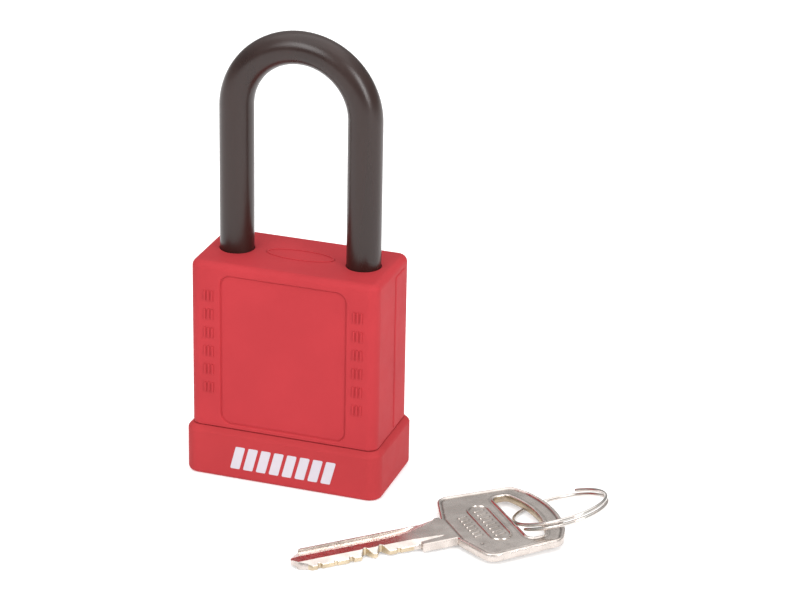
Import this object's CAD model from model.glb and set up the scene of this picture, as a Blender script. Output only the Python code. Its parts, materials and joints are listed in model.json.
import json
import math

import bmesh
import bpy
import numpy as np
from mathutils import Matrix, Vector
from mathutils.geometry import delaunay_2d_cdt


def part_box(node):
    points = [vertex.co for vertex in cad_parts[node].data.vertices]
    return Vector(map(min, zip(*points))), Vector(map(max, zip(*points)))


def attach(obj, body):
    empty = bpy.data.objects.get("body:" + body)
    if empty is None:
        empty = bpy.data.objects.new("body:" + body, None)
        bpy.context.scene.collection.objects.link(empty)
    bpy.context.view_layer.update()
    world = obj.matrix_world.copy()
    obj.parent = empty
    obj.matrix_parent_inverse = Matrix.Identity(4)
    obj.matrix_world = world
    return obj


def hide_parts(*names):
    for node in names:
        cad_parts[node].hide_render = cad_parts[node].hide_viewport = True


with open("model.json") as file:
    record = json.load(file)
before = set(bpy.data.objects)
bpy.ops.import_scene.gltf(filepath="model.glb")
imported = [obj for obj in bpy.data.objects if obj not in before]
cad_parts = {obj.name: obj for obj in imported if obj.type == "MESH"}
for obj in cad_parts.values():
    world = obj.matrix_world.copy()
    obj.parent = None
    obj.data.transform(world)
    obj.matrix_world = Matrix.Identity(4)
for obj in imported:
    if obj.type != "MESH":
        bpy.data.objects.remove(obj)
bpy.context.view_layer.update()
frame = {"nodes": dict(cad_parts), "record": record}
mm = 0.001

# The lock stands upright over lockAt; every shape below is drawn in millimetres from there.
collarLow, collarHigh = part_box("base_bumper")
lockAt = (collarLow + collarHigh) / 2
lockAt.z = collarLow.z
print("frame loaded, lock axis at", [round(v, 5) for v in lockAt])


# mesh helpers, all in millimetres round the lock's axis
def smoothStep(value):
    t = np.clip(value, 0.0, 1.0)
    return t * t * (3 - 2 * t)


def roundedOutline(width, depth, corner, steps=8):
    points = []
    for turn, (sx, sy) in enumerate(((1, 1), (-1, 1), (-1, -1), (1, -1))):
        cx = sx * (width / 2 - corner)
        cy = sy * (depth / 2 - corner)
        for i in range(steps + 1):
            angle = math.pi / 2 * (turn + i / steps)
            points.append((cx + corner * math.cos(angle), cy + corner * math.sin(angle)))
    return points


def roundCorners(corners, steps=6):
    # corners are (x, y, radius); each one becomes a curve over less than half of its two sides
    points = []
    count = len(corners)
    most = 0.48
    for i, (x, y, radius) in enumerate(corners):
        here = Vector((x, y))
        before = Vector(corners[i - 1][:2]) - here
        after = Vector(corners[(i + 1) % count][:2]) - here
        if radius <= 0:
            points.append((x, y))
            continue
        half = before.angle(after) / 2
        reach = min(radius / math.tan(half), before.length * most, after.length * most)
        start = here + before.normalized() * reach
        end = here + after.normalized() * reach
        for k in range(steps + 1):
            t = k / steps
            point = start * (1 - t) ** 2 + here * (2 * t * (1 - t)) + end * t * t
            points.append((point.x, point.y))
    return points


def bridgeRings(shape, rings, closed=False):
    made = [[shape.verts.new(point) for point in ring] for ring in rings]
    pairs = list(zip(made, made[1:]))
    if closed:
        pairs.append((made[-1], made[0]))
    for low, high in pairs:
        for i in range(len(low)):
            j = (i + 1) % len(low)
            shape.faces.new((low[i], low[j], high[j], high[i]))
    if not closed:
        shape.faces.new(made[0][::-1])
        shape.faces.new(made[-1])
    return shape


def stackOutlines(outlines, place=None):
    # outlines are (height, points), all with the same number of points
    shape = bridgeRings(bmesh.new(), [[(x, y, h) for x, y in points] for h, points in outlines])
    if place:
        bmesh.ops.transform(shape, matrix=place, verts=shape.verts)
    return shape


def insetOutlines(edge, width, depth, corner):
    # the edge is (height, inset); a negative inset makes the outline larger
    return [(height, roundedOutline(width - 2 * inset, depth - 2 * inset, corner - inset))
            for height, inset in edge]


def roundAngles(sides):
    return [2 * math.pi * (i + 0.5) / sides for i in range(sides)]


def turnedShape(profile, sides, place=None):
    # the profile is (radius, height)
    circles = [(height, [(radius * math.cos(t), radius * math.sin(t)) for t in roundAngles(sides)])
               for radius, height in profile]
    return stackOutlines(circles, place)


def addObject(name, data):
    obj = bpy.data.objects.new(name, data)
    bpy.context.scene.collection.objects.link(obj)
    return obj


def toObject(name, shape, place=None):
    # millimetres round the lock's axis become metres in the row frame
    bmesh.ops.recalc_face_normals(shape, faces=shape.faces)
    if place is None:
        place = Matrix.Translation(lockAt) @ Matrix.Scale(mm, 4)
    bmesh.ops.transform(shape, matrix=place, verts=shape.verts)
    mesh = bpy.data.meshes.new(name)
    shape.to_mesh(mesh)
    shape.free()
    return addObject(name, mesh)


def applyModifiers(obj):
    graph = bpy.context.evaluated_depsgraph_get()
    made = bpy.data.meshes.new_from_object(obj.evaluated_get(graph))
    old = obj.data
    obj.modifiers.clear()
    obj.data = made
    bpy.data.meshes.remove(old)


def booleanWith(obj, tools, operation="DIFFERENCE"):
    for tool in tools:
        step = obj.modifiers.new(tool.name, "BOOLEAN")
        step.operation = operation
        step.solver = "EXACT"
        step.object = tool
    applyModifiers(obj)
    for tool in tools:
        bpy.data.objects.remove(tool, do_unlink=True)


def smoothFaces(obj, sharpAngle=35):
    # flat faces keep their own normals, so that only the fillets shade round
    obj.data.shade_smooth()
    obj.data.set_sharp_from_angle(angle=math.radians(sharpAngle))
    weighted = obj.modifiers.new("flatFaces", "WEIGHTED_NORMAL")
    weighted.keep_sharp = True
    applyModifiers(obj)


def finishPiece(obj, body, slotName, nodes, *materials):
    for material in materials:
        obj.data.materials.append(material)
    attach(obj, body)
    if nodes:
        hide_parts(*nodes)
    print("made", obj.name, len(obj.data.polygons), "faces")


# material helpers and the finishes
def newMaterial(name, metallic, roughness, **sockets):
    material = bpy.data.materials.new(name)
    material.use_nodes = True
    shader = material.node_tree.nodes["Principled BSDF"]
    shader.inputs["Metallic"].default_value = metallic
    shader.inputs["Roughness"].default_value = roughness
    for socket, value in sockets.items():
        shader.inputs[socket.replace("_", " ")].default_value = value
    return material, material.node_tree, shader


def addNoise(tree, scale, detail, stretch=(1, 1, 1)):
    place = tree.nodes.new("ShaderNodeTexCoord")
    mapping = tree.nodes.new("ShaderNodeMapping")
    mapping.inputs["Scale"].default_value = stretch
    noise = tree.nodes.new("ShaderNodeTexNoise")
    noise.inputs["Scale"].default_value = scale
    noise.inputs["Detail"].default_value = detail
    tree.links.new(place.outputs["Object"], mapping.inputs["Vector"])
    tree.links.new(mapping.outputs["Vector"], noise.inputs["Vector"])
    return noise.outputs["Fac"]


def addRamp(tree, value, stops, into=None):
    ramp = tree.nodes.new("ShaderNodeValToRGB")
    while len(ramp.color_ramp.elements) < len(stops):
        ramp.color_ramp.elements.new(0.5)
    for element, (position, color) in zip(ramp.color_ramp.elements, stops):
        element.position = position
        element.color = (*color, 1.0) if isinstance(color, tuple) else (color, color, color, 1.0)
    tree.links.new(value, ramp.inputs["Fac"])
    if into is not None:
        tree.links.new(ramp.outputs["Color"], into)
    return ramp.outputs["Color"]


def addBump(tree, shader, height, strength, distance):
    bump = tree.nodes.new("ShaderNodeBump")
    bump.inputs["Strength"].default_value = strength
    bump.inputs["Distance"].default_value = distance
    tree.links.new(height, bump.inputs["Height"])
    tree.links.new(bump.outputs["Normal"], shader.inputs["Normal"])


plasticLook = {
    "casingColor": (0.41, 0.036, 0.043),
    "collarColor": (0.385, 0.036, 0.041),
    "printColor": (0.53, 0.50, 0.545),
    "sleeveColor": (0.021, 0.009, 0.007),
    "bodyColor": (0.040, 0.040, 0.046),
    "shine": 0.06,  # a satin skin that mirrors little of the bright floor
    "grain": 2600.0,  # fine moulded grain, about 0.4 mm across
    "flow": 90.0,  # broad, faint clouds of colour
    "rubbed": 320.0,  # patches a little smoother or rougher than the rest
    "rubbedBy": 0.02,
    "sleeve": {"shine": 0.45, "streaks": 260.0, "along": (1, 1, 0.12), "shade": (0.86, 1.16),
               "roughness": (0.25, 0.34), "skin": 900.0, "skinDepth": 0.00003},
}


def mouldedPlastic(name, color, roughness, grainDepth, spread=0.03):
    material, tree, shader = newMaterial(name, 0.0, roughness, Specular_IOR_Level=plasticLook["shine"])
    darker = tuple(v * (1 - spread) for v in color)
    lighter = tuple(v * (1 + spread) for v in color)
    clouds = addNoise(tree, plasticLook["flow"], 3.0)
    addRamp(tree, clouds, [(0.35, darker), (0.65, lighter)], shader.inputs["Base Color"])
    rubbed, change = addNoise(tree, plasticLook["rubbed"], 5.0), plasticLook["rubbedBy"]
    gloss = [(0.35, roughness - change), (0.62, roughness + change)]
    addRamp(tree, rubbed, gloss, shader.inputs["Roughness"])
    grain = addNoise(tree, plasticLook["grain"], 2.0)
    addBump(tree, shader, grain, 0.35, grainDepth)
    return material


def wornSleeve(name):
    # faint streaks that run up the legs, the darker ones smoother
    look = plasticLook["sleeve"]
    material, tree, shader = newMaterial(name, 0.0, 0.3, Specular_IOR_Level=look["shine"])
    streaks = addNoise(tree, look["streaks"], 4.0, look["along"])
    dark, light = (tuple(v * share for v in plasticLook["sleeveColor"]) for share in look["shade"])
    addRamp(tree, streaks, [(0.3, dark), (0.7, light)], shader.inputs["Base Color"])
    smooth, rough = look["roughness"]
    addRamp(tree, streaks, [(0.3, smooth), (0.7, rough)], shader.inputs["Roughness"])
    addBump(tree, shader, addNoise(tree, look["skin"], 3.0), 0.25, look["skinDepth"])
    return material


metalLook = {
    "nickel": (0.63, 0.57, 0.53),
    "nickelDull": (0.51, 0.455, 0.42),
    "brass": (0.61, 0.51, 0.36),
    "brassDull": (0.50, 0.41, 0.29),
    "slotBrown": (0.35, 0.28, 0.22),
    "steel": (0.50, 0.50, 0.51),
    "steelDull": (0.36, 0.36, 0.37),
    "wire": (0.56, 0.54, 0.51),
    "turned": (0.76, 0.58, 0.28),
    "turnedDull": (0.56, 0.40, 0.17),
    "grime": (0.16, 0.14, 0.12),  # dirt that settles in the key's creases
    "stain": 300.0,
    "scratches": 1100.0,
    "scratchDepth": 0.000006,
    "turning": {"rings": 620.0, "waver": 0.6, "depth": 0.00001, "stain": 350.0},
}


def platedMetal(name, bright, dull, roughness, scratch=(1, 1, 1), creases=False):
    material, tree, shader = newMaterial(name, 1.0, roughness)
    stain = addNoise(tree, metalLook["stain"], 5.0)
    color = addRamp(tree, stain, [(0.38, metalLook[dull]), (0.60, metalLook[bright])])
    if creases:
        worn = tree.nodes.new("ShaderNodeAttribute")
        worn.attribute_name = "grime"
        mix = tree.nodes.new("ShaderNodeMix")
        mix.data_type = "RGBA"
        mix.inputs["B"].default_value = (*metalLook["grime"], 1.0)
        tree.links.new(worn.outputs["Fac"], mix.inputs["Factor"])
        tree.links.new(color, mix.inputs["A"])
        color = mix.outputs["Result"]
    tree.links.new(color, shader.inputs["Base Color"])
    lines = addNoise(tree, metalLook["scratches"], 3.0, scratch)
    gloss = [(0.3, roughness - 0.04), (0.7, roughness + 0.05)]
    addRamp(tree, lines, gloss, shader.inputs["Roughness"])
    addBump(tree, shader, lines, 0.15, metalLook["scratchDepth"])
    return material


def machinedBrass(name):
    # fine turning rings round the lock's upright axis
    look = metalLook["turning"]
    material, tree, shader = newMaterial(name, 1.0, 0.3)
    place = tree.nodes.new("ShaderNodeTexCoord")
    mapping = tree.nodes.new("ShaderNodeMapping")
    mapping.inputs["Location"].default_value = (-lockAt.x, -lockAt.y, 0.0)
    rings = tree.nodes.new("ShaderNodeTexWave")
    rings.wave_type = "RINGS"
    rings.rings_direction = "Z"
    rings.inputs["Scale"].default_value = look["rings"]
    rings.inputs["Distortion"].default_value = look["waver"]
    tree.links.new(place.outputs["Object"], mapping.inputs["Vector"])
    tree.links.new(mapping.outputs["Vector"], rings.inputs["Vector"])
    stain = addNoise(tree, look["stain"], 5.0)
    color = [(0.35, metalLook["turnedDull"]), (0.62, metalLook["turned"])]
    addRamp(tree, stain, color, shader.inputs["Base Color"])
    addRamp(tree, stain, [(0.3, 0.24), (0.7, 0.40)], shader.inputs["Roughness"])
    addBump(tree, shader, rings.outputs["Fac"], 0.4, look["depth"])
    return material


casingPlastic = mouldedPlastic("casingPlastic", plasticLook["casingColor"], 0.56, 0.00004)
collarPlastic = mouldedPlastic("collarPlastic", plasticLook["collarColor"], 0.58, 0.00005)
printInk = mouldedPlastic("printInk", plasticLook["printColor"], 0.45, 0.00002, 0.02)
innerNylon = mouldedPlastic("innerNylon", plasticLook["bodyColor"], 0.55, 0.00005)
sleevePlastic = wornSleeve("sleevePlastic")
keyNickel = platedMetal("keyNickel", "nickel", "nickelDull", 0.27, creases=True)
keyBrass = platedMetal("keyBrass", "brass", "brassDull", 0.3, (1, 1, 6))
slotBrass = platedMetal("slotBrass", "brassDull", "slotBrown", 0.34, (1, 1, 6))
ringNickel = platedMetal("ringNickel", "nickel", "wire", 0.16, (1, 1, 3))
hardSteel = platedMetal("hardSteel", "steel", "steelDull", 0.3, (1, 1, 0.15))
springWire = platedMetal("springWire", "wire", "steel", 0.32)
turnedBrass = machinedBrass("turnedBrass")

slotFinish = {
    "casing": casingPlastic,
    "collar": collarPlastic,
    "inner_body": innerNylon,
    "hardened_steel": hardSteel,
    "sleeve": sleevePlastic,
    "spring_steel": springWire,
    "brass": turnedBrass,
    "nickel_plate": keyNickel,
}
for part in frame["record"]["subparts"]:
    node = frame["nodes"][part["node"]]
    if not node.material_slots:
        node.data.materials.append(None)
    for place in node.material_slots:
        place.material = slotFinish[part["material_slot"]]
print("materials made and given to", len(frame["nodes"]), "inner and outer nodes")


# the casing, with its label panel, grip pads and plain marks
casing = {
    "padRise": 0.2,  # grip pads on the two sides
    "ovalRise": 0.2,  # raised line on the roof
    "corner": 2.2,
    "fillet": 1.5,
    "filletSteps": 8,
    "neck": (38.4, 18.6, 1.6),  # the part inside the collar: width, depth, corner
    "neckBevel": 0.3,
    "seam": 0.15,  # the casing's skirt stops this far above the collar
    "skirtRound": [(0.0, 0.15), (0.05, 0.05), (0.15, 0.0)],  # height above the skirt's edge, and inset
    "cavity": (36.4, 16.4, 1.6, 45.2),  # width, depth, corner, top
    "cavityRound": (0.6, 0.5),
    "holeRadius": 3.58,
    "holeLip": [(0.0, 0.12), (0.03, 0.04), (0.1, 0.0), (0.1, -1.0)],  # growth, and depth under the roof
    "legX": 13.55,
    "label": {"halfWidth": 13.45, "bottom": 11.8, "top": 44.5, "corner": 2.2, "depth": 0.35},
    "padSpan": {"y": (0.9, 7.0), "z": (11.3, 44.8)},
    "pad": {"corner": 0.7, "bevel": 0.5, "root": 0.6},
    "ticks": {"x": 15.9, "first": 19.5, "pitch": 4.04, "count": 6, "size": (0.46, 2.3), "gap": 0.8,
              "rise": 0.24, "corner": 0.2, "bevel": 0.12, "root": 0.3},
    "softRim": [(0.25, 0.0), (0.72, 0.25), (0.93, 0.55), (1.0, 1.0)],  # shares of rise and bevel
    "oval": {"size": (7.3, 2.7), "y": 0.3, "line": 0.5, "steps": 72},
}
caseLow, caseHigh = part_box("cover_shell")
caseWidth = (caseHigh.x - caseLow.x) / mm - 2 * casing["padRise"]
caseTop = (caseHigh.z - lockAt.z) / mm - casing["ovalRise"]
caseBottom = (caseLow.z - lockAt.z) / mm
caseDepth = 2 * (caseHigh.y - lockAt.y) / mm
seamHeight = (collarHigh.z - lockAt.z) / mm + casing["seam"]
print("casing", round(caseWidth, 2), "x", round(caseDepth, 2), "x", round(caseTop, 2), "mm")


def casingBlock():
    bevel, fillet, steps = casing["neckBevel"], casing["fillet"], casing["filletSteps"]
    neck = [(caseBottom, bevel), (caseBottom + bevel, 0.0), (seamHeight, 0.0)]
    edge = [(seamHeight + rise, inset) for rise, inset in casing["skirtRound"]]
    for i in range(steps + 1):
        angle = math.pi / 2 * i / steps
        edge.append((caseTop - fillet + fillet * math.sin(angle), fillet * (1 - math.cos(angle))))
    wall = insetOutlines(edge, caseWidth, caseDepth, casing["corner"])
    return stackOutlines(insetOutlines(neck, *casing["neck"]) + wall)


def labelCutter():
    # a shallow tray with a soft lip, a steep wall and a fine crease at its foot; each step is
    # (depth under the front face, inset)
    label = casing["label"]
    width = 2 * label["halfWidth"]
    height = label["top"] - label["bottom"]
    depth = label["depth"]
    steps = [(-1.0, -0.30), (0.0, -0.24), (0.02, -0.15), (0.07, -0.06), (0.14, -0.02),
             (depth, 0.06), (depth + 0.08, 0.10), (depth + 0.08, 0.22), (depth, 0.34)]
    middle = (label["top"] + label["bottom"]) / 2
    place = Matrix.Translation((0, -caseDepth / 2, middle)) @ Matrix.Rotation(-math.pi / 2, 4, "X")
    return stackOutlines(insetOutlines(steps, width, height, label["corner"]), place)


def softPad(width, height, corner, rise, bevel, root, place):
    # a raised pad with a rounded rim, its root sunk into the wall behind it
    outlines = []
    for share, part in casing["softRim"]:
        inset = bevel * part
        outline = roundedOutline(width - 2 * inset, height - 2 * inset, max(corner - inset, 0.02), 4)
        outlines.append((rise * share, outline))
    return stackOutlines([(-root, outlines[0][1])] + outlines, place)


def sidePads():
    y0, y1 = casing["padSpan"]["y"]
    z0, z1 = casing["padSpan"]["z"]
    pad = casing["pad"]
    made = []
    for side in (-1, 1):
        place = (
            Matrix.Translation((side * caseWidth / 2, (y0 + y1) / 2, (z0 + z1) / 2))
            @ Matrix.Rotation(side * math.pi / 2, 4, "Y")
        )
        shape = softPad(z1 - z0, y1 - y0, pad["corner"], casing["padRise"], pad["bevel"], pad["root"], place)
        made.append(toObject(f"pad{side}", shape))
    return made


def tickColumns():
    # six groups of three plain raised ticks on each side of the label
    ticks = casing["ticks"]
    shared = (ticks["corner"], ticks["rise"], ticks["bevel"], ticks["root"])
    made = []
    for side in (-1, 1):
        for k in range(ticks["count"]):
            height = ticks["first"] + ticks["pitch"] * k
            for column in (-1, 0, 1):
                place = (
                    Matrix.Translation((side * ticks["x"] + column * ticks["gap"], -caseDepth / 2, height))
                    @ Matrix.Rotation(math.pi / 2, 4, "X")
                )
                shape = softPad(*ticks["size"], *shared, place)
                made.append(toObject(f"tick{side}{k}{column}", shape))
    return made


def roofOval():
    # a thin raised line round an empty oval
    oval = casing["oval"]
    a, b = oval["size"]
    line, steps = oval["line"], oval["steps"]
    rise = casing["ovalRise"]
    half = [(0.0, -0.3), (0.0, rise * 0.5), (-0.06, rise * 0.85), (-0.16, rise)]
    profile = half + [(-line - grow, lift) for grow, lift in half[::-1]]
    turns = [2 * math.pi * i / steps for i in range(steps)]
    rings = []
    for grow, lift in profile:
        wide, deep, height = a + grow, b + grow, caseTop + lift
        rings.append([(wide * math.cos(t), oval["y"] + deep * math.sin(t), height) for t in turns])
    return bridgeRings(bmesh.new(), rings, closed=True)


def buildCasing():
    obj = toObject("casing", casingBlock())
    width, depth, corner, top = casing["cavity"]
    down, inset = casing["cavityRound"]
    edge = [(caseBottom - 1.0, 0.0), (top - down, 0.0), (top, inset)]
    cavity = stackOutlines(insetOutlines(edge, width, depth, corner))
    tools = [toObject("cavity", cavity), toObject("labelTray", labelCutter())]
    radius = casing["holeRadius"]
    for side in (-1, 1):
        lip = [(radius, top - 1.5)] + [(radius + grow, caseTop - sunk) for grow, sunk in casing["holeLip"]]
        hole = turnedShape(lip, 64, Matrix.Translation((side * casing["legX"], 0, 0)))
        tools.append(toObject(f"hole{side}", hole))
    booleanWith(obj, tools)
    booleanWith(obj, sidePads() + tickColumns() + [toObject("ovalLine", roofOval())], "UNION")
    smoothFaces(obj)
    finishPiece(obj, "lock", "casing", ["cover_shell"], casingPlastic)


buildCasing()


# the collar round the base and its white print
collar = {
    "corner": 2.8,
    "floor": 1.2,
    "bore": 6.95,  # radius of the hole round the plug
    "boreBevel": 0.3,
    "footRound": 0.9,
    "footSteps": 6,
    "slope": (1.05, 0.95),  # how far the rim slopes in, and over what height
    "rimRound": 0.35,
    "clearance": 0.2,
    "mark": {"from": -11.0, "to": 12.0, "low": 2.5, "high": 7.5, "bars": 8, "gap": 0.75,
             "slant": 1.3, "rise": 0.05, "corner": 0.3},
}
collarWidth, collarDepth, collarTop = ((collarHigh - collarLow) / mm)[:]


def collarBlock():
    foot, steps = collar["footRound"], collar["footSteps"]
    slopeIn, slopeHigh = collar["slope"]
    edge = []
    for i in range(steps + 1):
        angle = math.pi / 2 * i / steps
        edge.append((foot * (1 - math.cos(angle)), foot * (1 - math.sin(angle))))
    # the wall turns over softly into the slope that meets the casing
    turn = collar["rimRound"]
    for t in (0.0, 0.25, 0.5, 0.75, 1.0):
        inset = slopeIn * turn * t * t
        rise = turn * (1 - t) ** 2 - slopeHigh * turn * t * t
        edge.append((collarTop - slopeHigh - rise, inset))
    edge.append((collarTop - 0.06, slopeIn * 0.94))
    edge.append((collarTop, slopeIn + 0.08))
    return stackOutlines(insetOutlines(edge, collarWidth, collarDepth, collar["corner"]))


def buildCollar():
    obj = toObject("collar", collarBlock())
    gap = collar["clearance"]
    cup = stackOutlines(insetOutlines([(collar["floor"], -gap), (collarTop + 1, -gap)], *casing["neck"]))
    bore, bevel = collar["bore"], collar["boreBevel"]
    hole = turnedShape([(bore + bevel, -1.0), (bore + bevel, 0.0), (bore, bevel), (bore, 2.0)], 96)
    booleanWith(obj, [toObject("cup", cup), toObject("bore", hole)])
    smoothFaces(obj)
    finishPiece(obj, "lock", "collar", ["base_bumper"], collarPlastic)


def buildMark():
    # a plain row of slanted white bars, printed on the front of the collar
    mark = collar["mark"]
    pitch = (mark["to"] - mark["from"] + mark["gap"] - mark["slant"]) / mark["bars"]
    wide = pitch - mark["gap"]
    shape = bmesh.new()
    front = -collarDepth / 2
    for k in range(mark["bars"]):
        x = mark["from"] + pitch * k
        slant = mark["slant"]
        corners = [(x, mark["low"]), (x + wide, mark["low"]),
                   (x + wide + slant, mark["high"]), (x + slant, mark["high"])]
        outline = roundCorners([(*place, mark["corner"]) for place in corners], 4)
        rings = []
        for lift, shrink in ((-0.02, 1.0), (mark["rise"] * 0.6, 1.0), (mark["rise"], 0.985)):
            cx = x + (wide + slant) / 2
            cz = (mark["low"] + mark["high"]) / 2
            ring = [(cx + (px - cx) * shrink, cz + (pz - cz) * shrink) for px, pz in outline]
            rings.append([(px, front - lift, pz) for px, pz in ring])
        bridgeRings(shape, rings)
    obj = toObject("collarPrint", shape)
    smoothFaces(obj)
    finishPiece(obj, "lock", "collar", [], printInk)


buildCollar()
buildMark()


# the shackle's bar and the sleeve over it
shackleShape = {
    "legX": 13.55,
    "archZ": 77.16,
    "toeEnd": 36.6,
    "steelRadius": 2.85,
    "sleeveInside": 2.95,
    "sleeveOutside": 3.5,
    "sleeveBent": 3.3,
    "neckRadius": 1.8,
    "neck": (20.9, 35.2),
    # how much thinner the bar and the sleeve are, by height from their ends
    "steelEnd": [(0.0, 0.6), (0.15, 0.25), (0.5, 0.0)],
    "sleeveEnd": [(0.0, 0.12), (0.05, 0.03), (0.15, 0.0)],
    "notch": {"z": 41.0, "below": 2.8, "above": 1.95, "depth": 0.95, "flank": 0.8, "lead": (1.5, 1.2),
              "halfWide": 4.0},
    "archSteps": 64,
}
heelEnd = (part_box("shackle")[0].z - lockAt.z) / mm
sleeveEnd = (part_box("shackle_sleeve")[0].z - lockAt.z) / mm


def legPath(heel, toe):
    # up the heel leg, over the arch, down the toe leg
    x, top, steps = shackleShape["legX"], shackleShape["archZ"], shackleShape["archSteps"]
    points = [(-x, height) for height in heel]
    for i in range(steps + 1):
        angle = math.pi * (1 - i / steps)
        points.append((x * math.cos(angle), top + x * math.sin(angle)))
    return points + [(x, height) for height in toe]


def pipeRings(path, radii, sides=48):
    rings = []
    top = shackleShape["archZ"]
    for (x, z), radius in zip(path, radii):
        out = Vector((x, 0, z - top)).normalized() if z > top else Vector((math.copysign(1, x), 0, 0))
        middle = Vector((x, 0, z))
        rings.append([middle + out * radius * math.cos(t) + Vector((0, radius * math.sin(t), 0))
                      for t in roundAngles(sides)])
    return rings


def buildShackleBar():
    steel, thin = shackleShape["steelRadius"], shackleShape["neckRadius"]
    low, high = shackleShape["neck"]
    bevel = 0.2
    heel = [(heelEnd + up, steel - less) for up, less in shackleShape["steelEnd"]]
    heel += [(low - bevel, steel), (low, steel - bevel), (low, thin),
             (high, thin), (high, steel - bevel), (high + bevel, steel)]
    toe = [(shackleShape["toeEnd"] + up, steel - less) for up, less in shackleShape["steelEnd"][::-1]]
    path = legPath([z for z, _ in heel], [z for z, _ in toe])
    radii = [r for _, r in heel] + [steel] * (shackleShape["archSteps"] + 1) + [r for _, r in toe]
    obj = toObject("shackleBar", bridgeRings(bmesh.new(), pipeRings(path, radii)))
    notch = shackleShape["notch"]
    face = shackleShape["legX"] - steel
    deep, flank, wide = face + notch["depth"], notch["flank"], notch["halfWide"]
    leadX, leadZ = notch["lead"]
    tools = []
    for side in (-1, 1):
        z0, z1 = notch["z"] - notch["below"], notch["z"] + notch["above"]
        corners = [(face - leadX, z0 - leadZ, 0), (face, z0, 0.3), (deep, z0 + flank, 0.5),
                   (deep, z1 - flank, 0.5), (face, z1, 0.3), (face - leadX, z1 + leadZ, 0)]
        outline = [(side * x, z) for x, z in roundCorners(corners, 5)]
        shape = stackOutlines([(-wide, outline), (wide, outline)], Matrix.Rotation(math.pi / 2, 4, "X"))
        tools.append(toObject(f"notch{side}", shape))
    booleanWith(obj, tools)
    smoothFaces(obj)
    finishPiece(obj, "shackle", "hardened_steel", ["shackle"], hardSteel)


def buildSleeve():
    outside, inside = shackleShape["sleeveOutside"], shackleShape["sleeveInside"]
    ends = shackleShape["sleeveEnd"]
    heel = [sleeveEnd + up for up, _ in ends]
    path = legPath(heel, heel[::-1])
    skin = [outside - less for _, less in ends]
    radii = list(skin)
    for i in range(shackleShape["archSteps"] + 1):
        bend = math.sin(math.pi * i / shackleShape["archSteps"])
        radii.append(outside + bend * (shackleShape["sleeveBent"] - outside))
    radii += skin[::-1]
    rings = pipeRings(path, radii)
    hollow = pipeRings(path, [inside] * len(path))
    obj = toObject("shackleSleeve", bridgeRings(bmesh.new(), rings + hollow[::-1], closed=True))
    smoothFaces(obj)
    finishPiece(obj, "shackle", "sleeve", ["shackle_sleeve"], sleevePlastic)


buildShackleBar()
buildSleeve()


# the plug with its keyway, seen from underneath
plugShape = {
    "radius": 6.0,
    "head": 6.7,
    "headRound": [(0.45, 0.0), (0.2, 0.06), (0.06, 0.2), (0.0, 0.45)],  # in from its rim, above its face
    "face": 0.3,
    "headTop": 1.5,
    "end": 29.6,
    "groove": (5.0, 27.5, 28.5),  # radius, low, high
    "tongue": (7.8, 2.4, 32.6),  # width, depth, top
    "tongueCorner": 0.3,
    "tongueBevel": 0.15,
    "keyway": [(-4.5, -1.0), (3.9, -1.0), (3.9, 0.35), (2.45, 0.35),
               (2.45, 1.0), (-0.05, 1.0), (-0.05, 0.35), (-4.5, 0.35)],
    "keywayCorner": 0.12,
    "keywayTop": 27.0,
    "chamber": 1.35,
    "chamberSpan": (0.8, 8.0),
    "chambers": (4.8, 3.3, 6),  # first, pitch, count
}


def buildPlug():
    look = plugShape
    head, face = look["head"], look["face"]
    grooveR, grooveLow, grooveHigh = look["groove"]
    radius, headTop = look["radius"], look["headTop"]
    profile = [(head - inset, face + up) for inset, up in look["headRound"]]
    profile += [(head, headTop), (radius, headTop), (radius, grooveLow), (grooveR, grooveLow),
                (grooveR, grooveHigh), (radius, grooveHigh), (radius, look["end"])]
    obj = toObject("plugCore", turnedShape(profile, 96))
    width, depth, top = look["tongue"]
    bevel = look["tongueBevel"]
    edge = [(look["end"] - 0.4, 0.0), (top - bevel, 0.0), (top, bevel)]
    tongue = stackOutlines(insetOutlines(edge, width, depth, look["tongueCorner"]))
    booleanWith(obj, [toObject("tongue", tongue)], "UNION")
    outline = roundCorners([(x, y, look["keywayCorner"]) for x, y in look["keyway"]], 3)
    keyway = stackOutlines([(-1.0, outline), (look["keywayTop"], outline)])
    tools = [toObject("keyway", keyway)]
    first, pitch, count = look["chambers"]
    for k in range(count):
        place = Matrix.Translation((0, 0, first + pitch * k)) @ Matrix.Rotation(math.pi / 2, 4, "Y")
        shape = turnedShape([(look["chamber"], reach) for reach in look["chamberSpan"]], 24, place)
        tools.append(toObject(f"chamber{k}", shape))
    booleanWith(obj, tools)
    smoothFaces(obj)
    finishPiece(obj, "plug", "brass", ["plug"], turnedBrass)


buildPlug()


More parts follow.
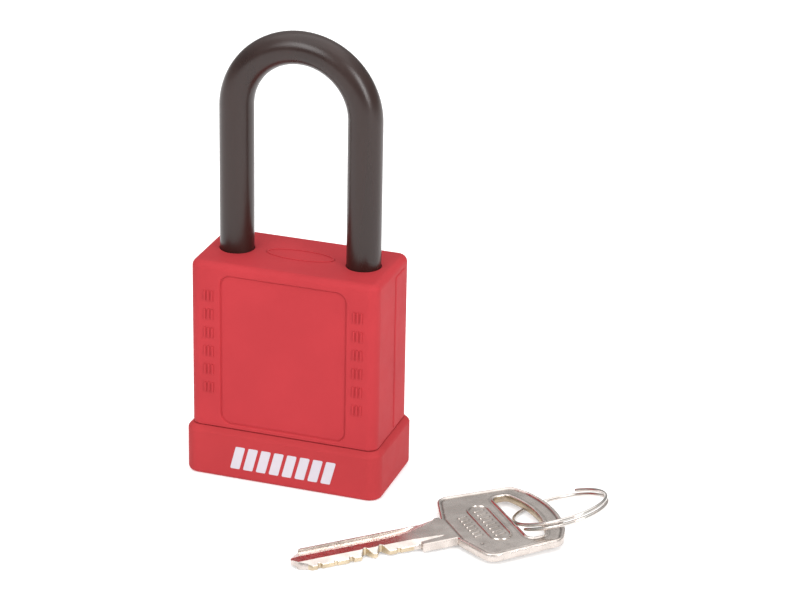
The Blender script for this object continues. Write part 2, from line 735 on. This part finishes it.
# the flat key, drawn with u along its blade towards the bow and w across it
keyShape = {
    "at": (39.36, -20.5),  # where the blade meets the bow, from the lock's axis
    "heading": 41.2,
    "tilt": 1.15,
    "rest": 0.02,
    "thick": 1.75,
    "tip": -33.4,
    "point": [(0.0, 0.2, 0.3), (1.1, -1.2, 0.4), (2.8, -1.9, 0.3)],  # from the tip, w, radius
    "spine": 5.3,
    "cutEdge": -2.5,
    "stop": (-7.3, -3.9),
    "cuts": {"first": -11.8, "pitch": 3.3, "depths": (0.3, 1.65, 1.65, 0.45, 0.2, 0.4),
             "halfFlat": 0.25, "flare": 0.62},
    "bowCorners": [(0.0, 4.6, 0.3), (2.75, 13.25, 3.0), (18.9, 12.15, 2.6)],
    "arcCentre": -0.6,
    "arcRadius": 23.3,
    "arcHalf": 8.6,
    "spacing": 0.3,  # between the mesh's points
    # how far the surface lies below the key's top, by distance in from an edge
    "roundOver": [(0.0, 0.20), (0.12, 0.06), (0.3, 0.0)],
    "bladeRound": [(0.0, 0.07), (0.03, 0.02), (0.08, 0.0)],
    "rim": [(0.3, 0.0), (0.5, 0.02), (0.7, 0.17), (0.88, 0.33), (1.2, 0.25), (2.6, 0.22)],
    "slotRim": [(0.2, 0.0), (0.38, 0.02), (0.6, 0.22), (0.9, 0.33)],
    "crease": 0.92,
    "lean": {"spine": 0.36, "cut": 0.5},  # how steeply the two troughs are milled
    "start": {"spine": 0.06, "cut": 0.05},  # the small step where each of them begins
    "deepest": 0.75,
    "wall": 0.12,
    "lip": (4.92, 0.8),
    "keel": {"w": 0.1, "half": 0.75, "soft": 0.3, "depth": 0.4},
    "thinned": {"over": 2.2, "top": 0.15, "under": 0.25},
    "slot": {"from": 13.0, "arcRadius": 19.3, "half": 9.15, "corner": 2.2, "farCorner": 1.7},
    "cartouche": {"u": 8.4, "w": -0.2, "half": 5.2, "radius": 2.15, "rise": 0.2},
    "stroke": (0.1, 0.24),  # half its width on top and at its foot
    "dimple": (3.6, -7.6, 0.42),
    "dimpleDepth": 0.12,
    # how dark the dirt is, and how wide
    "dirt": {"rim": (0.8, 0.13), "slot": (0.5, 0.12), "mark": (0.55, 0.1), "dimple": (0.7, 0.15)},
}


def keyCuts():
    # the bitting, from the tip towards the bow
    cuts, edge = keyShape["cuts"], keyShape["cutEdge"]
    flat = cuts["halfFlat"]
    points = []
    for k in reversed(range(len(cuts["depths"]))):
        middle = cuts["first"] - cuts["pitch"] * k
        depth = cuts["depths"][k]
        half = flat + cuts["flare"] * depth
        points += [(middle - half, edge, 0.15), (middle - flat, edge + depth, 0.12),
                   (middle + flat, edge + depth, 0.12), (middle + half, edge, 0.15)]
    return points


def bowSide(sign):
    # the bow's corners on one side, from the blade outwards
    return [(u, sign * w, r) for u, w, r in keyShape["bowCorners"]]


def farArc(radius, halfWidth, count):
    centre = keyShape["arcCentre"]
    reach = math.asin(halfWidth / radius)
    return [(centre + radius * math.cos(reach * (2 * i / count - 1)),
             radius * math.sin(reach * (2 * i / count - 1)), 0) for i in range(count + 1)]


def bowCorners():
    return bowSide(-1) + farArc(keyShape["arcRadius"], keyShape["arcHalf"], 18) + bowSide(1)[::-1]


def bowOutline():
    # the bow alone, closed straight across where the blade leaves it
    return roundCorners(bowCorners())


def wholeOutline():
    spine, tip = keyShape["spine"], keyShape["tip"]
    edge, (stopU, stopW) = keyShape["cutEdge"], keyShape["stop"]
    blade = [(tip + along, w, r) for along, w, r in keyShape["point"]] + [(tip + 3.5, edge, 0.2)]
    blade += keyCuts()
    blade += [(stopU, edge, 0.2), (stopU, stopW, 0.3), (-0.05, stopW, 0.15)]
    back = [(-0.05, spine, 0.2), (-29.9, spine, 1.0), (-33.0, 1.3, 0.5)]
    return roundCorners(blade + bowCorners() + back)


def slotOutline():
    slot = keyShape["slot"]
    near, half = slot["from"], slot["half"]
    arc = farArc(slot["arcRadius"], half - 1.5, 14)
    far = keyShape["arcCentre"] + math.sqrt(slot["arcRadius"] ** 2 - half ** 2)
    low = [(near, -half, slot["corner"]), (far, -half, slot["farCorner"])]
    return roundCorners(low + arc + [(far, half, slot["farCorner"]), (near, half, slot["corner"])])


def resample(points, spacing):
    # even points along a closed line, its own corners kept
    made = []
    for i, (x, y) in enumerate(points):
        nx, ny = points[(i + 1) % len(points)]
        length = math.hypot(nx - x, ny - y)
        count = max(1, int(math.ceil(length / spacing)))
        if length > 1e-4:
            made += [(x + (nx - x) * k / count, y + (ny - y) * k / count) for k in range(count)]
    return np.array(made)


def distanceTo(points, line, closed=True):
    # shortest distance from each point to a polyline
    starts = np.asarray(line, float)
    ends = np.roll(starts, -1, 0) if closed else starts[1:]
    starts = starts if closed else starts[:-1]
    best = np.full(len(points), 1e9)
    for a, b in zip(starts, ends):
        along = b - a
        size = float(along @ along)
        if size < 1e-12:
            continue
        t = np.clip(((points - a) @ along) / size, 0, 1)
        away = points - (a + t[:, None] * along)
        best = np.minimum(best, np.hypot(away[:, 0], away[:, 1]))
    return best


def insideOf(points, line):
    x, y = points[:, 0], points[:, 1]
    inside = np.zeros(len(points), bool)
    for (x0, y0), (x1, y1) in zip(line, np.roll(line, -1, 0)):
        if y0 == y1:
            continue
        crosses = (y0 > y) != (y1 > y)
        inside ^= crosses & (x < (x1 - x0) * (y - y0) / (y1 - y0) + x0)
    return inside


def offsetPoints(line, distance, everything):
    # points beside a line, kept where no other part of the outline is nearer
    tangent = np.roll(line, -1, 0) - np.roll(line, 1, 0)
    tangent /= np.maximum(np.hypot(tangent[:, 0], tangent[:, 1]), 1e-9)[:, None]
    normal = np.stack([-tangent[:, 1], tangent[:, 0]], 1)
    made = np.concatenate([line + normal * distance, line - normal * distance])
    near = np.min([distanceTo(made, other) for other in everything], axis=0)
    return made[near > distance * 0.97]


# the two milled troughs: their inner edges (u, w), which run out towards the bow
spineEdge = [(-36, 0.95), (-13.0, 0.95), (-8.0, 1.8), (-4.5, 3.1), (-1.3, 4.7)]
cutEdgeLine = [(-36, -1.15), (-9.0, -1.15), (-4.5, -1.45), (-1.3, -1.95)]
spineTrough = spineEdge + [(-1.3, 6.5), (-36, 6.5)]
cutTrough = cutEdgeLine + [(-4.5, -2.35), (-7.25, -2.7), (-7.35, -5.0), (-36, -5.0)]


def cartoucheFrame():
    look = keyShape["cartouche"]
    return [(look["u"], look["w"] - look["half"]), (look["u"], look["w"] + look["half"])]


def cartoucheMarks():
    # plain raised strokes: eight inside the frame and seven beside it
    look = keyShape["cartouche"]
    u, w, half = look["u"], look["w"], look["half"]
    strokes = []
    for k in range(8):
        at = w - half + 2 * half * k / 7
        strokes.append(((u - 0.95, at - 0.2), (u + 0.95, at + 0.2)))
    for k in range(7):
        at = w - 4.2 + k * 1.35
        strokes.append(((u - 4.9, at - 0.15), (u - 3.4, at + 0.15)))
    return strokes


def roundLine(ends, radius, spacing=0.13):
    # the closed line round a straight stroke with round ends
    (ax, ay), (bx, by) = ends
    heading = math.atan2(by - ay, bx - ax)
    length = math.hypot(bx - ax, by - ay)
    around = max(6, int(math.pi * radius / spacing))
    along = max(1, int(length / spacing))
    points = []
    for x, y, turn in ((bx, by, -math.pi / 2), (ax, ay, math.pi / 2)):
        for i in range(around + 1):
            angle = heading + turn + math.pi * i / around
            points.append((x + radius * math.cos(angle), y + radius * math.sin(angle)))
        side = heading + turn + math.pi
        step = -length / along if turn < 0 else length / along
        for i in range(1, along):
            points.append((x + radius * math.cos(side) + step * i * math.cos(heading),
                           y + radius * math.sin(side) + step * i * math.sin(heading)))
    return np.array(points)


def byDistance(distance, table):
    return np.interp(distance, [d for d, _ in table], [drop for _, drop in table])


def keyHeights(points, outline, slot, bow):
    # heights of the top and the underside, and how dirty each point is
    look = keyShape
    u, w = points[:, 0], points[:, 1]
    toOutline = distanceTo(points, outline)
    toSlot = distanceTo(points, slot)
    toBow = distanceTo(points, bow)
    inBow = insideOf(points, bow)
    # the bow: a round edge, a rim and a sunken face, and a rim round the slot as well
    relief = np.minimum(byDistance(toBow, look["rim"]), byDistance(toSlot, look["slotRim"])) * inBow
    roundOver = byDistance(np.minimum(toOutline, toSlot), look["roundOver"])
    bladeRound = byDistance(toOutline, look["bladeRound"])
    top = look["thick"] - relief
    under = relief.copy()
    sunk = inBow & (toBow > 1.3) & (toSlot > 1.0)
    # raised frame and strokes
    flat, foot = look["stroke"]
    toFrame = np.abs(distanceTo(points, cartoucheFrame(), closed=False) - look["cartouche"]["radius"])
    toMarks = [toFrame] + [distanceTo(points, stroke, closed=False) for stroke in cartoucheMarks()]
    toMark = np.min(toMarks, axis=0)
    top += look["cartouche"]["rise"] * np.interp(toMark, [flat, foot], [1.0, 0.0]) * sunk
    du, dw, dimple = look["dimple"]
    toDimple = np.hypot(u - du, w - dw)
    top -= look["dimpleDepth"] * (1 - smoothStep(toDimple / dimple))
    # milled troughs along the blade, each dropping outwards from the ridge
    start, lean, wall = look["start"], look["lean"], look["wall"]
    lipAt, lipDrop = look["lip"]
    inSpine = insideOf(points, np.array(spineTrough, float))
    spineDrop = start["spine"] + lean["spine"] * (w - byDistance(u, spineEdge))
    spineDrop = np.where(w > lipAt, np.minimum(spineDrop, lipDrop), spineDrop)
    top -= np.maximum(spineDrop, 0) * smoothStep(distanceTo(points, spineTrough) / wall) * inSpine
    inCut = insideOf(points, np.array(cutTrough, float))
    cutDrop = start["cut"] + lean["cut"] * (byDistance(u, cutEdgeLine) - w)
    top -= np.clip(cutDrop, 0, look["deepest"]) * smoothStep(distanceTo(points, cutTrough) / wall) * inCut
    # a groove along the underside, running out towards the bow
    keel = look["keel"]
    along = 1 - smoothStep((np.abs(w - keel["w"]) - keel["half"]) / keel["soft"])
    under += keel["depth"] * along * smoothStep((-2.0 - u) / 4.0)
    # the point of the blade thins out
    thinned = look["thinned"]
    point = smoothStep((look["tip"] + thinned["over"] - u) / thinned["over"])
    top -= thinned["top"] * point
    under += thinned["under"] * point
    drop = np.where(u > -0.1, roundOver, bladeRound)
    low = np.minimum(top - 0.25, under + drop)
    # dirt lies along the rim's foot, round the strokes and in the dimple
    lines = {
        "rim": (toBow - look["crease"], inBow * (toSlot > 0.7)),
        "slot": (toSlot - look["crease"], inBow * (toBow > 1.2)),
        "mark": (toMark - foot - 0.05, sunk),
        "dimple": (toDimple - dimple * 0.6, 1),
    }
    layers = []
    for name, (away, where) in lines.items():
        amount, wide = look["dirt"][name]
        layers.append(amount * np.exp(-((away / wide) ** 2)) * where)
    return top - drop, low, np.max(layers, axis=0)


def keyMatrix():
    heading, tilt = math.radians(keyShape["heading"]), math.radians(keyShape["tilt"])
    alongU = Vector((math.cos(heading) * math.cos(tilt), math.sin(heading) * math.cos(tilt), math.sin(tilt)))
    alongW = Vector((-math.sin(heading), math.cos(heading), 0))
    turned = Matrix((alongU, alongW, alongU.cross(alongW))).transposed().to_4x4()
    turned.translation = (*keyShape["at"], keyShape["rest"] - keyShape["tip"] * math.sin(tilt))
    return turned


def keyPoints(outline, slot, bow):
    # the mesh's points: both outlines, then bands beside every edge, then an even grid
    spacing = keyShape["spacing"]
    lines = [outline, slot]
    sets = []
    rim, slotRim = ([distance for distance, _ in keyShape[name][:5]] for name in ("rim", "slotRim"))
    near = (0.03, 0.08, 0.12)
    for line, distances in ((outline, near), (slot, near), (bow, rim), (slot, slotRim)):
        sets += [offsetPoints(line, distance, lines) for distance in distances]
    for trough in (spineTrough, cutTrough):
        line = resample([(float(u), float(w)) for u, w in trough], spacing)
        sets.append(line)
        sets.append(offsetPoints(line, keyShape["wall"], [line]))
    lip = keyShape["lip"][0]
    for w in (lip - 0.04, lip + 0.04):
        sets.append(np.array([(u, w) for u in np.arange(-32.0, -1.0, spacing)]))
    flat, foot = keyShape["stroke"]
    ring = keyShape["cartouche"]["radius"]
    for radius in (ring - foot, ring - flat, ring + flat, ring + foot):
        sets.append(roundLine(cartoucheFrame(), radius))
    for stroke in cartoucheMarks():
        sets += [roundLine(stroke, flat), roundLine(stroke, foot), roundLine(stroke, foot + 0.12)]
    du, dw, dimple = keyShape["dimple"]
    for share in (0.25, 0.5, 0.75, 1.0):
        sets.append(roundLine([(du, dw), (du + 0.01, dw)], dimple * share))
    across = np.arange(-13.1, 13.2, spacing)
    sets.append(np.array([(u, w) for u in np.arange(-33.2, 22.6, spacing) for w in across]))
    rooms = [0.05] * (len(sets) - 1) + [0.12]  # how near to one another the points may be
    kept = np.concatenate(lines)
    for extra, room in zip(sets, rooms):
        extra = extra[insideOf(extra, outline) & ~insideOf(extra, slot)]
        extra = extra[np.minimum(distanceTo(extra, outline), distanceTo(extra, slot)) > 0.02]
        cells = {}
        for x, y in kept:
            cells.setdefault((int(x // room), int(y // room)), []).append((x, y))
        fresh = []
        for x, y in extra:
            cx, cy = int(x // room), int(y // room)
            close = [p for i in (-1, 0, 1) for j in (-1, 0, 1) for p in cells.get((cx + i, cy + j), ())]
            if all(math.hypot(x - px, y - py) > room for px, py in close):
                fresh.append((x, y))
                cells.setdefault((cx, cy), []).append((x, y))
        if fresh:
            kept = np.concatenate([kept, np.array(fresh)])
    return kept


def buildKey():
    spacing = keyShape["spacing"]
    outline, slot, bow = (resample(line, spacing) for line in (wholeOutline(), slotOutline(), bowOutline()))
    points = keyPoints(outline, slot, bow)
    edges = [(i, (i + 1) % len(outline)) for i in range(len(outline))]
    base = len(outline)
    edges += [(base + i, base + (i + 1) % len(slot)) for i in range(len(slot))]
    flat, _, faces, *_ = delaunay_2d_cdt([Vector(p) for p in points.tolist()], edges, [], 0, 1e-5)
    flat = np.array([(p.x, p.y) for p in flat])
    centres = np.array([flat[list(face)].mean(0) for face in faces])
    good = insideOf(centres, outline) & ~insideOf(centres, slot)
    faces = [face for face, keep in zip(faces, good) if keep]
    top, under, grime = keyHeights(flat, outline, slot, bow)
    shape = bmesh.new()
    dirt = shape.verts.layers.float.new("grime")
    upper = [shape.verts.new((x, y, z)) for (x, y), z in zip(flat, top)]
    lower = [shape.verts.new((x, y, z)) for (x, y), z in zip(flat, under)]
    for vert, amount in zip(upper, grime):
        vert[dirt] = float(amount)
    slotStart, slotEnd = min(slot[:, 0]) - 0.1, max(slot[:, 0]) + 0.1
    seen = {}
    for face in faces:
        shape.faces.new([upper[i] for i in face])
        shape.faces.new([lower[i] for i in reversed(face)])
        for a, b in zip(face, face[1:] + face[:1]):
            seen.setdefault(frozenset((a, b)), []).append((a, b))
    for uses in seen.values():
        if len(uses) > 1:
            continue
        a, b = uses[0]
        # walls stand on the edges that only one face uses; bare brass shows in the cuts and the slot
        wall = shape.faces.new((upper[b], upper[a], lower[a], lower[b]))
        u, w = (flat[a] + flat[b]) / 2
        if w < keyShape["cutEdge"] + 2.0 and -30.5 < u < keyShape["stop"][0] - 1.5:
            wall.material_index = 1
        elif a >= base and b >= base and slotStart < u < slotEnd and abs(w) < 9.3:
            wall.material_index = 2
    bmesh.ops.delete(shape, geom=[v for v in shape.verts if not v.link_faces], context="VERTS")
    place = Matrix.Translation(lockAt) @ Matrix.Scale(mm, 4) @ keyMatrix()
    obj = toObject("flatKey", shape, place)
    obj.data.shade_smooth()
    obj.data.set_sharp_from_angle(angle=math.radians(42))
    finishPiece(obj, "key", "nickel_plate", ["key"], keyNickel, keyBrass, slotBrass)


buildKey()


# the split ring
ringShape = {
    "at": (57.74, -6.86, 4.318),
    "slope": (0.333, -0.126),  # rise of the ring's plane along x and y
    "radius": 9.54,
    "wire": 0.38,
    "ends": (0.72, 0.93, 1.0),  # the wire narrows at its two ends
    "pitch": 0.95,
    "start": 87.9,
    "turn": 570.0,
    "steps": 240,
    "sides": 20,
}


def buildRing():
    look = ringShape
    axis = Vector((-look["slope"][0], -look["slope"][1], 1.0)).normalized()
    ringX = Vector((0, 1, 0)).cross(axis).normalized()
    ringY = axis.cross(ringX)
    rings = []
    for i in range(look["steps"] + 1):
        travelled = look["turn"] * i / look["steps"]
        angle = math.radians(look["start"] - travelled)
        out = ringX * math.cos(angle) + ringY * math.sin(angle)
        middle = Vector(look["at"]) - axis * (look["pitch"] * travelled / 360) + out * look["radius"]
        fromEnd = min(i, look["steps"] - i)
        wire = look["wire"] * look["ends"][min(fromEnd, 2)]
        rings.append([middle + out * (wire * math.cos(t)) + axis * (wire * math.sin(t))
                      for t in roundAngles(look["sides"])])
    obj = toObject("splitRing", bridgeRings(bmesh.new(), rings))
    smoothFaces(obj)
    finishPiece(obj, "key_ring", "nickel_plate", ["key_ring"], ringNickel)


buildRing()


# the studio: white sweep, soft boxes and the camera
studio = {
    "floorSize": 4.0,
    "floorColor": (0.82, 0.82, 0.82),
    "floorShade": 0.985,
    "floorGlow": 0.30,  # the sweep is lit from below, so that it stays white
    "world": [(0.0, 0.26), (0.15, 0.36), (0.39, 0.52), (0.62, 0.88), (1.0, 0.9)],  # horizon to zenith
    "camera": {"target": (21.303, 0.0, 40.467), "azimuth": 18.267, "elevation": 23.298, "roll": 1.115,
               "distance": 580.72, "lens": 130.85},
    "lights": [
        # name, place and size in metres, power
        ("mainSoftbox", (-0.28, -0.82, 0.70), (0.60, 0.50), 4.7),
        ("topSoftbox", (-0.05, 0.10, 1.10), (1.6, 1.4), 7.5),
        ("cornerSoftbox", (0.80, -0.46, 0.46), (0.30, 0.6), 5.4),
    ],
    "aim": (0.0, 0.0, 0.035),
}


def buildFloor():
    size = studio["floorSize"]
    shape = bmesh.new()
    bmesh.ops.create_grid(shape, x_segments=8, y_segments=8, size=size / 2)
    mesh = bpy.data.meshes.new("floor")
    shape.to_mesh(mesh)
    shape.free()
    material, tree, shader = newMaterial("paperFloor", 0.0, 0.9, Emission_Strength=studio["floorGlow"])
    shader.inputs["Emission Color"].default_value = (1.0, 1.0, 1.0, 1.0)
    paper = addNoise(tree, 6.0, 3.0)
    color = studio["floorColor"]
    darker = tuple(v * studio["floorShade"] for v in color)
    addRamp(tree, paper, [(0.3, darker), (0.7, color)], shader.inputs["Base Color"])
    mesh.materials.append(material)
    addObject("floor", mesh)


def buildLights():
    # a world that is dark at the horizon and lighter overhead, and the soft boxes
    world = bpy.data.worlds.new("whiteStudio")
    world.use_nodes = True
    tree = world.node_tree
    place = tree.nodes.new("ShaderNodeTexCoord")
    split = tree.nodes.new("ShaderNodeSeparateXYZ")
    tree.links.new(place.outputs["Generated"], split.inputs["Vector"])
    addRamp(tree, split.outputs["Z"], studio["world"], tree.nodes["Background"].inputs["Color"])
    bpy.context.scene.world = world
    aim = Vector(studio["aim"])
    for name, place, size, power in studio["lights"]:
        light = bpy.data.lights.new(name, "AREA")
        light.shape = "RECTANGLE"
        light.size, light.size_y = size
        light.energy = power
        lamp = addObject(name, light)
        lamp.location = place
        lamp.rotation_euler = (aim - Vector(place)).to_track_quat("-Z", "Y").to_euler()


def buildCamera():
    look = studio["camera"]
    azimuth, elevation, roll = (math.radians(look[name]) for name in ("azimuth", "elevation", "roll"))
    right = Vector((math.cos(azimuth), math.sin(azimuth), 0))
    back = Vector((0, 0, 1)).cross(right) * -math.cos(elevation) + Vector((0, 0, math.sin(elevation)))
    up = back.cross(right)
    rolledRight = right * math.cos(roll) + up * math.sin(roll)
    rolledUp = up * math.cos(roll) - right * math.sin(roll)
    data = bpy.data.cameras.new("camera")
    data.lens = look["lens"]
    data.sensor_width = 36.0
    data.clip_start, data.clip_end = 0.01, 20.0
    camera = addObject("camera", data)
    turn = Matrix((rolledRight, rolledUp, back)).transposed().to_4x4()
    turn.translation = lockAt + (Vector(look["target"]) + back * look["distance"]) * mm
    camera.matrix_world = turn
    bpy.context.scene.camera = camera


buildFloor()
buildLights()
buildCamera()
bpy.context.scene.view_settings.view_transform = "Standard"
print("studio ready")
